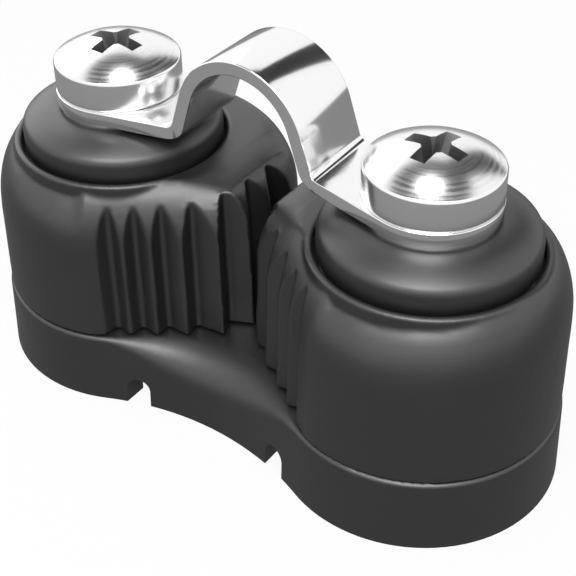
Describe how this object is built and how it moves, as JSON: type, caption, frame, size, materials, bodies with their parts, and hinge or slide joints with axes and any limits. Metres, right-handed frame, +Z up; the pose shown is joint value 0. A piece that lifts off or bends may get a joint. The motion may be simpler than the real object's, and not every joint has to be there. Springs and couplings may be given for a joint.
{
  "type": "cam cleat",
  "caption": "Cam cleat: two sprung toothed cams on a waisted base, under a bent metal strap that guides the rope, held by pan head screws.",
  "frame": {"origin": "centre of the base's underside, midway between the two screws", "axes": "+X through both screw axes, +Z up out of the deck, -Y towards the load on the rope, where the toothed faces open in a V"},
  "size_m": [0.0484, 0.0217, 0.0292],
  "materials": {
    "base_plastic": "black glass-filled plastic, satin",
    "cam_plastic": "black glass-filled plastic, satin",
    "cap_plastic": "black moulded plastic, satin",
    "strap_steel": "polished stainless steel",
    "screw_steel": "polished stainless steel, finely turned",
    "spring_steel": "drawn stainless wire",
    "bearing_plastic": "plain acetal"
  },
  "bodies": {
    "base_body": {"base": "base_plastic", "fairlead_strap": "strap_steel", "left_cap": "cap_plastic", "left_thrust_ring": "bearing_plastic", "left_cap_washer": "bearing_plastic", "left_ferrule": "strap_steel", "left_screw": "screw_steel", "left_spring": "spring_steel", "right_cap": "cap_plastic", "right_thrust_ring": "bearing_plastic", "right_cap_washer": "bearing_plastic", "right_ferrule": "strap_steel", "right_screw": "screw_steel", "right_spring": "spring_steel"},
    "left_cam_body": {"left_cam": "cam_plastic", "left_sleeve": "bearing_plastic"},
    "right_cam_body": {"right_cam": "cam_plastic", "right_sleeve": "bearing_plastic"}
  },
  "joints": [
    {"name": "left_cam_pivot", "type": "hinge", "parent": "base_body", "child": "left_cam_body", "pos_m": [-0.0135, 0, 0.0123], "axis": [0, 0, 1], "range_deg": [0, 60], "stiffness_Nm_per_rad": 0.03, "springref_deg": -40.11, "deforming": ["left_spring"]},
    {"name": "right_cam_pivot", "type": "hinge", "parent": "base_body", "child": "right_cam_body", "pos_m": [0.0135, 0, 0.0123], "axis": [0, 0, -1], "range_deg": [0, 60], "stiffness_Nm_per_rad": 0.03, "springref_deg": -40.11, "deforming": ["right_spring"]}
  ]
}
